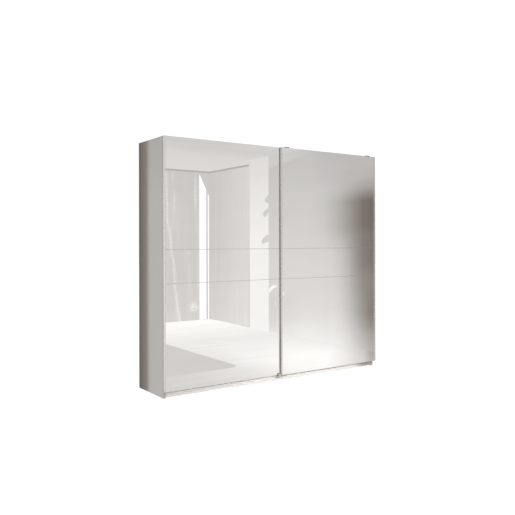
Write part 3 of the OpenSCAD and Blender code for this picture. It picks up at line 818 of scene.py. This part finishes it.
def lip_seal():
    """Lip along the right door's edge, thinner towards the left door."""
    low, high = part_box("overlap_seal")
    root, taper, tip = 0.35 * (high.y - low.y), 0.6 * MM, 0.5 * MM
    outline = rounded([(high.x, low.y, 0.3 * MM), (high.x, high.y, 0.3 * MM), (low.x + taper, high.y, tip),
                       (low.x, low.y + root, tip), (low.x, low.y, tip)])
    add_piece("overlap_seal", "lip", extrusion(outline, low.z, high.z, "Z"))


def make_pieces():
    for panel in ("left_side", "right_side", "top_panel", "bottom_panel", "plinth_front", "plinth_rear",
                  "centre_partition", "hat_shelf_left", "hat_shelf_right", "bottom_guide", "track_stops"):
        soften(panel, 0.8 * MM)
    for panel in ("back_board_left", "back_board_right", "back_joint_strip"):
        soften(panel, 0.3 * MM)
    turnings("shelf_pins", "X", 0.6 * MM)
    turnings("cam_bolts", "X", 0.8 * MM)
    turnings("floor_glides", "Z", MM)
    rail_sockets()
    cam_locks()
    wall_brackets()
    top_track()
    for rail in ("clothes_rail_left", "clothes_rail_right"):
        clothes_rail(rail)
    screws("socket_screws", out_of_panel, flat_head=False)
    screws("partition_screws", away_from_middle)
    screws("track_screws", UP)
    screws("bracket_screws", UP)
    screws("guide_screws", FORWARD)
    for door in ("left", "right"):
        for field in ("upper", "middle", "lower"):
            mirror_field(f"{door}_mirror_{field}")
        edge_profile(door + "_slim_profile", 1.1 * MM, 0, 0)
        edge_profile(door + "_grip_profile", 1.4 * MM, 16 * MM, 1.5 * MM)
        soften(door + "_board", 0.5 * MM)
        soften(door + "_top_rail", 0.6 * MM)
        soften(door + "_bottom_rail", 0.6 * MM)
        seam_strips(door + "_seam_strips")
        hangers(door)
        screws(door + "_hanger_screws", BACK)
        axles(door + "_axles")
        for end in ("a", "b"):
            roller(f"{door}_roller_{end}")
    lip_seal()


make_pieces()


# ---------- studio ----------

# Share of the light that the doors' mirrors return
MIRROR_SHARE = 0.88


class Card(Surface):
    """Glow of a studio card: the painted light and shade of a room, as a field of display values over its own
    coordinates.
    """

    def __init__(self, name):
        super().__init__(name)
        self.nodes.remove(self.shader)
        self.glow = self.add("Emission")
        self.feed(self.nodes["Material Output"].inputs["Surface"], Field(self, self.glow.outputs[0]))
        axes = self.add("SeparateXYZ", {"Vector": self.position}).outputs
        self.x, self.y, self.z = (Field(self, axis) for axis in axes)

    def curve(self, value, *points):
        """Display value along a coordinate, straight between points (coordinate, display value)."""
        first, last = points[0][0], points[-1][0]
        node = self.add("ValToRGB", {"Fac": self.span(value, first, last)})
        stops = node.color_ramp.elements
        for place, tone in points[1:-1]:
            stops.new((place - first) / (last - first))
        for stop, (place, tone) in zip(stops, points):
            stop.color = (tone, tone, tone, 1)
        return Field(self, node.outputs["Color"])

    def show(self, tone):
        """The card shows this field of display values, from 0 to 1, in a mirror."""
        tint = self.blend((1, 0.875, 0.775), (1, 0.974, 0.952), tone, 0.45, 0.75)
        tint = self.blend(tint, (1, 0.982, 0.964), tone, 0.85, 0.96)
        self.feed(self.glow.inputs["Color"], tint)
        self.feed(self.glow.inputs["Strength"], tone.math("POWER", 2.2) * (1 / MIRROR_SHARE))
        return self.material

    def blot(self, centre, reach, gain):
        """Soft patch (x, z) of added display value, as wide each way as its reach."""
        total = 0.0
        for axis, middle, half in zip((self.x, self.z), centre, reach):
            away = (axis - middle).math("DIVIDE", half)
            total = away * away + total
        return self.span(total, 1.0, 0.1, 0.0, gain)


def add_card(name, corners, material):
    """Flat studio card through its corners. Cards show in mirrors and gloss, and no camera sees them."""
    mesh = bpy.data.meshes.new(name)
    mesh.from_pydata(corners, [], [tuple(range(len(corners)))])
    card = new_object(name, mesh)
    mesh.materials.append(material)
    for ray in ("camera", "shadow", "diffuse", "transmission", "volume_scatter"):
        setattr(card, "visible_" + ray, False)


# The room that the mirrors show: its walls, how high its cornice and ceiling are, and the step
# between cards that lie on the same wall
ROOM_LEFT = -4.6
ROOM_RIGHT = 1.676
ROOM_FAR = -4.71
ROOM_NEAR = -0.3
CORNICE = 2.378
CEILING = 2.45
LAYER = 0.004


def rectangle(u0, u1, v0, v1):
    """Outline of a rectangle on a card's own two axes."""
    return [(u0, v0), (u1, v0), (u1, v1), (u0, v1)]


def side_wall(name, outline, x, material):
    """Card with its outline (y, z) at a constant x."""
    add_card(name, [(x, y, z) for y, z in outline], material)


def right_wall(name, outline, material, lift=0):
    """Outline (y, z) on the right wall, lifted off it by lift layers."""
    side_wall(name, outline, ROOM_RIGHT - lift * LAYER, material)


def far_wall(name, outline, material, lift=0):
    """Outline (x, z) on the far wall, lifted off it by lift layers."""
    y = ROOM_FAR + lift * LAYER
    add_card(name, [(x, y, z) for x, z in outline], material)


def flat_card(name, outline, z, material):
    """Level card with its outline (x, y) at height z."""
    add_card(name, [(x, y, z) for x, y in outline], material)


def plain_card(name, tone):
    """Glow of one display value, with hardly visible upright streaks."""
    s = Card(name)
    streaks = s.noise(3, 3, (1, 1, 4))
    return s.show(s.span(streaks, 0.3, 0.7, tone - 0.004, tone + 0.004))


def right_wall_glow():
    """Wall with painted light that brightens it to the floor and along its top towards the far end, painted
    shade near the ceiling and low beside the bright opening, and the blurred dark shape near the wardrobe.
    """
    s = Card("right_wall_glow")
    height = s.curve(
        s.z, (0, 0.955), (0.1, 0.93), (0.3, 0.89), (0.45, 0.868), (0.7, 0.856), (1, 0.845),
        (1.4, 0.825), (1.9, 0.798), (2.3, 0.775), (2.45, 0.77),
    )
    low_reach = s.curve(
        s.y, (-1.9, 0), (-1.63, 0.03), (-1.48, 0.13), (-1.33, 0.33), (-1.19, 0.62), (-1.05, 0.87),
        (-0.85, 1),
    )
    high_reach = s.curve(
        s.y, (-2.1, 0), (-1.8, 0.06), (-1.63, 0.18), (-1.48, 0.31), (-1.33, 0.5), (-1.19, 0.7),
        (-1.05, 0.9), (-0.85, 1),
    )
    foot = s.curve(
        s.y, (-1.75, 0), (-1.48, 0.05), (-1.33, 0.09), (-1.19, 0.15), (-1.05, 0.13), (-0.95, 0.02),
        (-0.85, 0),
    )
    upper, lower = s.span(s.z, 1.1, 1.4), s.span(s.z, 1.4, 1.1)
    reach = high_reach * upper + low_reach * lower - foot * s.span(s.z, 0.75, 0.5)
    rise = s.curve(
        s.z, (0, 0.25), (0.19, 0.283), (0.28, 0.316), (0.44, 0.367), (0.58, 0.347), (0.81, 0.321),
        (1.02, 0.365), (1.32, 0.35), (1.45, 0.375), (1.72, 0.36), (1.865, 0.17), (2, 0.078),
        (2.14, 0.055), (2.45, 0.045),
    )
    window_end = s.curve(s.y, (-2.85, 1), (-2.65, 0.55), (-2.45, 0.35), (-2.2, 0))
    low_shade = s.curve(s.z, (0, 0.06), (0.2, 0.06), (0.42, 0.035), (0.6, 0.01), (0.9, 0))
    ceiling_shade = s.curve(s.y, (-2.4, 0), (-2, 0.006), (-1.8, 0.02), (-1.3, 0.02), (-1.1, 0))
    # Painted shade: darker near the ceiling, and low on the wall beside the bright opening
    painted_shade = s.span(s.z, 1.9, 2.05) * ceiling_shade + window_end * low_shade
    # Painted light: a brighter band along the top of the wall, strongest towards the far end
    top = s.span(s.z - s.y * 0.121, 2.62, 2.66, 0.0, 0.034) * s.span(s.y, -2.0, -2.6, 0.25, 1.0)
    return s.show(height + top - painted_shade - reach * rise)


def floor_glow():
    """Pale boards along X, with painted light brightest by the far wall and to the right, and a painted
    shadow band by the right wall.
    """
    s = Card("floor_glow")
    depth = s.curve(
        s.y, (-4.71, 1), (-4.3, 0.998), (-3.7, 0.98), (-3, 0.95), (-2.2, 0.92), (-1.4, 0.912),
        (-0.3, 0.915),
    )
    side = s.curve(
        s.x, (-1.2, 0), (-0.6, 0.015), (-0.1, 0.07), (0.4, 0.15), (0.9, 0.175), (1.3, 0.165), (1.676, 0.125)
    )
    near = s.span(s.y, -2.6, -1.2)
    boards = s.span(s.waves(0.19, "Y", 0.6), 0.0, 0.25, -0.012, 0.0)
    figure = s.span(s.noise(9, 4, (14, 1, 1)), 0.3, 0.7, -0.012, 0.012)
    slant = s.x * 0.733 + s.y * 0.68
    wood = (boards + figure) * s.span(slant, -0.65, -0.3, 1.0, 0.15)
    # Painted shadow of the dark shape: a band that darkens the floor towards the right wall near the wardrobe
    shade = s.curve(
        slant, (0.12, 0), (0.222, 0.025), (0.324, 0.065), (0.419, 0.115), (0.515, 0.165), (0.583, 0.275),
        (0.7, 0.32),
    )
    return s.show(depth - near * 0.085 + near * side - shade + wood)


def ceiling_glow():
    """Ceiling, brightest by the far wall."""
    s = Card("ceiling_glow")
    depth = s.curve(
        s.y, (-4.71, 0.857), (-3.9, 0.85), (-3.3, 0.838), (-2.8, 0.812), (-2.2, 0.8), (-0.3, 0.79)
    )
    patch = s.curve(s.y, (-2.8, 0), (-2.3, 0.025), (-1.8, 0.025), (-1.4, 0))
    return s.show(depth + patch * s.span(s.x, 0.7, 1.1))


def panel_glow():
    """Sheer panel on the right wall beside the corner."""
    s = Card("panel_glow")
    along = s.curve(s.y, (-4.71, 0.785), (-4.3, 0.8), (-3.9, 0.825), (-3.5, 0.84))
    low = s.curve(s.z, (0, 0.055), (0.5, 0.035), (1.2, 0.015), (2.38, 0))
    folds = s.span(s.noise(9, 3, (1, 1, 12)), 0.3, 0.7, -0.008, 0.008)
    return s.show(along + low + folds)


def column_glow():
    """Bright opening between the panel and the near wall."""
    s = Card("column_glow")
    return s.show(s.curve(
        s.z, (0, 0.965), (0.8, 0.958), (1.3, 0.95), (1.8, 0.92), (2.2, 0.885), (2.45, 0.865)
    ))


def far_wall_glow():
    """Far wall with faint upright streaks, one slanting light streak and small spots of light."""
    s = Card("far_wall_glow")
    height = s.curve(s.z, (0, 0.84), (0.25, 0.828), (0.8, 0.812), (1.5, 0.808), (2.38, 0.79))
    streaks = s.span(s.noise(7, 4, (1, 1, 9)), 0.45, 0.75, -0.006, 0.03)
    sway = s.span(s.noise(2.6, 2, (40, 40, 1)), 0.3, 0.7, -0.02, 0.02)
    path = s.curve(s.z, (0, 1.125), (0.4, 1.1), (1.03, 1.015), (1.65, 0.93), (2.38, 0.9)) + sway
    lights = s.span((s.x - path).math("ABSOLUTE"), 0.036, 0.0, 0.0, 0.08)
    for centre, reach, gain in (
        ((1.419, 2.04), (0.04, 0.36), 0.06), ((1.052, 1.88), (0.025, 0.22), 0.05),
        ((1.024, 2.27), (0.03, 0.1), 0.04), ((1.298, 1.08), (0.05, 0.06), 0.035),
        ((1.385, 0.22), (0.1, 0.1), 0.09),
    ):
        lights = lights + s.blot(centre, reach, gain)
    lights = lights * s.span(s.noise(34, 4), 0.38, 0.62, 0.35, 1.35)
    return s.show(height + streaks + lights)


def make_leaves(wall_glow):
    """A plant's leaves (y, z) on the right wall: as grey as the wall above, and sunlit below."""
    grey = (
        [(-2.97, 1.915), (-3.03, 1.868), (-3.068, 1.833), (-3.05, 1.812), (-2.97, 1.78)],
        [(-2.97, 1.725), (-3.04, 1.7), (-3.085, 1.676), (-3.113, 1.652), (-3.108, 1.624), (-3.085, 1.606),
         (-3.05, 1.6), (-3.02, 1.625), (-2.97, 1.665)],
        [(-2.97, 1.356), (-3.05, 1.333), (-3.105, 1.306), (-3.145, 1.272), (-3.155, 1.242), (-3.135, 1.218),
         (-3.08, 1.232), (-2.97, 1.254)],
    )
    sunlit = (
        (0.99, [(-2.962, 0.59), (-2.961, 0.545), (-2.938, 0.545), (-2.9, 0.577), (-2.83, 0.612),
                (-2.775, 0.64), (-2.772, 0.656), (-2.79, 0.658), (-2.87, 0.643), (-2.92, 0.622)]),
        (0.97, [(-2.694, 0.52), (-2.684, 0.552), (-2.655, 0.568), (-2.634, 0.577), (-2.642, 0.548),
                (-2.665, 0.528)]),
        (0.93, [(-2.83, 0.445), (-2.812, 0.43), (-2.785, 0.372), (-2.797, 0.368), (-2.82, 0.41)]),
        (0.91, [(-2.964, 1.00), (-2.957, 1.018), (-2.922, 1.048), (-2.93, 1.03)]),
    )
    cards = [(wall_glow, outline) for outline in grey]
    cards += [(plain_card("sunlit", tone), outline) for tone, outline in sunlit]
    for i, (material, outline) in enumerate(cards):
        right_wall(f"leaf_{i}", outline, material, 4)


def make_mirror_room():
    """Everything that the doors mirror: glowing cards painted with the light and shade of a pale room with
    two windows, a rug and a dark shape.
    """
    panel_end, column_end = -3.485, -2.98
    wall_glow = right_wall_glow()
    right_wall("room_wall_near", rectangle(column_end, ROOM_NEAR, 0, CEILING), wall_glow, 2)
    right_wall("room_column", rectangle(panel_end, column_end, 0, CEILING), column_glow(), 1)
    right_wall("room_panel", rectangle(ROOM_FAR, panel_end, 0, CORNICE), panel_glow(), 1)
    right_wall("room_panel_edge", rectangle(panel_end - 0.03, panel_end, 0, CORNICE),
               plain_card("panel_edge", 0.845), 2)
    plain = plain_card("frieze", 0.855)
    right_wall("room_frieze", rectangle(ROOM_FAR, panel_end, CORNICE, CEILING), plain)
    # Painted shadow line along the cornice: a dark strip card at the top of the right and far walls
    shade = plain_card("cornice", 0.7)
    cornice_low, cornice_high = CORNICE - 0.02, CORNICE + 0.008
    right_wall("room_cornice", rectangle(ROOM_FAR, panel_end, cornice_low, cornice_high), shade, 3)

    far_wall("room_far", rectangle(ROOM_LEFT, ROOM_RIGHT, 0, CORNICE), far_wall_glow())
    far_wall("room_far_frieze", rectangle(ROOM_LEFT, ROOM_RIGHT, CORNICE, CEILING), plain)
    far_wall("room_far_cornice", [(ROOM_LEFT, CORNICE - 0.012), (ROOM_RIGHT, cornice_low),
                                  (ROOM_RIGHT, cornice_high), (ROOM_LEFT, CORNICE + 0.018)], shade, 3)
    slit, mullion, narrow_slit, narrow_end = 1.483, 1.6055, 1.63, 1.654
    foot = 0.01
    for name, material, tone, left, right, left_top, right_top, lift in (
        ("slit", "daylight", 1.06, slit, mullion, 2.335, 2.085, 2),
        ("slit_narrow", "dim_daylight", 1.02, narrow_slit, narrow_end, 2.035, 1.995, 2),
        ("mullion", "mullion", 0.77, mullion, narrow_slit, 2.085, 2.035, 1),
    ):
        outline = [(left, foot), (right, foot), (right, right_top), (left, left_top)]
        far_wall("room_" + name, outline, plain_card(material, tone), lift)
    far_wall("room_window", rectangle(-2.3, -0.7, 0.35, 2.15), plain_card("window", 0.93), 1)

    whole_room = rectangle(ROOM_LEFT, ROOM_RIGHT, ROOM_FAR, ROOM_NEAR)
    flat_card("room_ceiling", whole_room, CEILING, ceiling_glow())
    flat_card("room_floor", whole_room, LAYER, floor_glow())
    rug = [(-3.2, -2.79), (0.024, -2.79), (0.024, -1.1), (-0.01, -1.03), (-0.08, -1.0), (-3.2, -1.0)]
    flat_card("room_rug", rug, 2 * LAYER, plain_card("rug", 0.815))
    far_foot, near_foot = (1.5945, -3.375), (1.582, -2.858)
    for name, tone, outline in (
        ("foot_panel", 0.872, [(ROOM_RIGHT, ROOM_FAR), (ROOM_RIGHT, panel_end), far_foot]),
        ("foot_column", 0.965, [(ROOM_RIGHT, panel_end), (ROOM_RIGHT, column_end), near_foot, far_foot]),
        ("foot_wall", 0.9, [(ROOM_RIGHT, column_end), (ROOM_RIGHT, -2.3), near_foot]),
    ):
        flat_card("room_" + name, outline, 3 * LAYER, plain_card(name, tone))
    make_leaves(wall_glow)
    left_wall = rectangle(ROOM_FAR, ROOM_NEAR, 0, CEILING)
    side_wall("room_wall_left", left_wall, ROOM_LEFT, plain_card("room_left", 0.84))


def side_card(name, y0, y1, light, tint, shade=0.0):
    """Upright card left of the wardrobe that its side panel mirrors."""
    x, z0, z1 = -1.63, -3.0, 2.6
    s = Card(name)
    s.feed(s.glow.inputs["Color"], (*tint, 1))
    s.feed(s.glow.inputs["Strength"], s.span(s.z, 1.7, 2.35, light, light - shade))
    side_wall(name, rectangle(y0, y1, z0, z1), x, s.material)


def make_side_cards():
    """A bright and two dark cards beside the left panel: its satin foil mirrors where they meet."""
    meeting, dim_end = 1.262, 1.41
    side_card("side_card_bright", -0.6, meeting, 1.03, (1, 0.979, 0.97), 0.17)
    side_card("side_card_dim", meeting, dim_end, 0.25, (1, 0.8, 0.65))
    side_card("side_card_dark", dim_end, 2.6, 0.09, (1, 0.51, 0.23))


def low_light(name, kind, place, energy, lit, **settings):
    """Light near the floor that reaches under the doors to the pieces in lit; no gloss or mirror shows it."""
    data = bpy.data.lights.new(name, kind)
    data.energy = energy
    for setting, value in settings.items():
        setattr(data, setting, value)
    light = new_object(name, data)
    light.location = place
    light.visible_glossy = False
    light.visible_camera = False
    light.light_linking.receiver_collection = lit
    return light


def make_low_lights():
    """A weak strip to the left, and a spot on the plinth, under the doors, that leaves its right end dark."""
    lit = bpy.data.collections.new("lit_from_low")
    for name in ("plinth_front_eased", "floor_glides_turned"):
        lit.objects.link(bpy.data.objects[name])
    strip_watts, spot_watts = 5, 390
    strip = low_light("low_strip", "AREA", (-0.5, -1.3, 0.22), strip_watts, lit, shape="RECTANGLE",
                      size=1.2, size_y=0.2)
    strip.rotation_euler.x = math.radians(90)
    spot = low_light("low_spot", "SPOT", (0.6, -2.0, 0.8), spot_watts, lit, spot_size=math.radians(57),
                     spot_blend=0.3, shadow_soft_size=0.03)
    aim = Vector((0.03, -0.22, 0.03))
    spot.rotation_euler = (aim - spot.location).to_track_quat("-Z", "Y").to_euler()


def make_floor():
    """Plain white floor that fades into the white background."""
    bpy.ops.mesh.primitive_circle_add(vertices=96, radius=30, fill_type="NGON", location=(0, 0, 0))
    floor = bpy.context.object
    floor.name = "studio_floor"
    s = Surface("studio_floor", Roughness=0.9, Emission_Color=(1, 1, 1, 1), Emission_Strength=0.95)
    s.colour((0.09, 0.09, 0.09), (0.1, 0.1, 0.1), s.noise(3, 2))
    floor.data.materials.append(s.material)
    floor.visible_diffuse = False
    floor.visible_glossy = False


def make_sky():
    """White surroundings for the camera; for everything else a soft light, weakest from the left."""
    world = bpy.data.worlds.new("studio")
    bpy.context.scene.world = world
    sky = Graph(world)
    way = sky.field("Generated", "TexCoord")
    slope = sky.field("Value", "VectorMath", {0: way, 1: (0.22, -0.22, 0.5)}, operation="DOT_PRODUCT")
    soft = sky.field(0, "Background", {"Color": (1, 0.985, 0.965, 1), "Strength": slope + 0.85})
    white = sky.field(0, "Background", {"Color": (1, 1, 1, 1), "Strength": 1.05})
    seen = sky.field("Is Camera Ray", "LightPath")
    shown = sky.field(0, "MixShader", {0: seen, 1: soft, 2: white})
    sky.feed(sky.nodes["World Output"].inputs["Surface"], shown)


def make_studio():
    make_sky()
    make_floor()
    make_mirror_room()
    make_side_cards()
    make_low_lights()
    bpy.context.scene.view_settings.view_transform = "Standard"


make_camera()
make_studio()
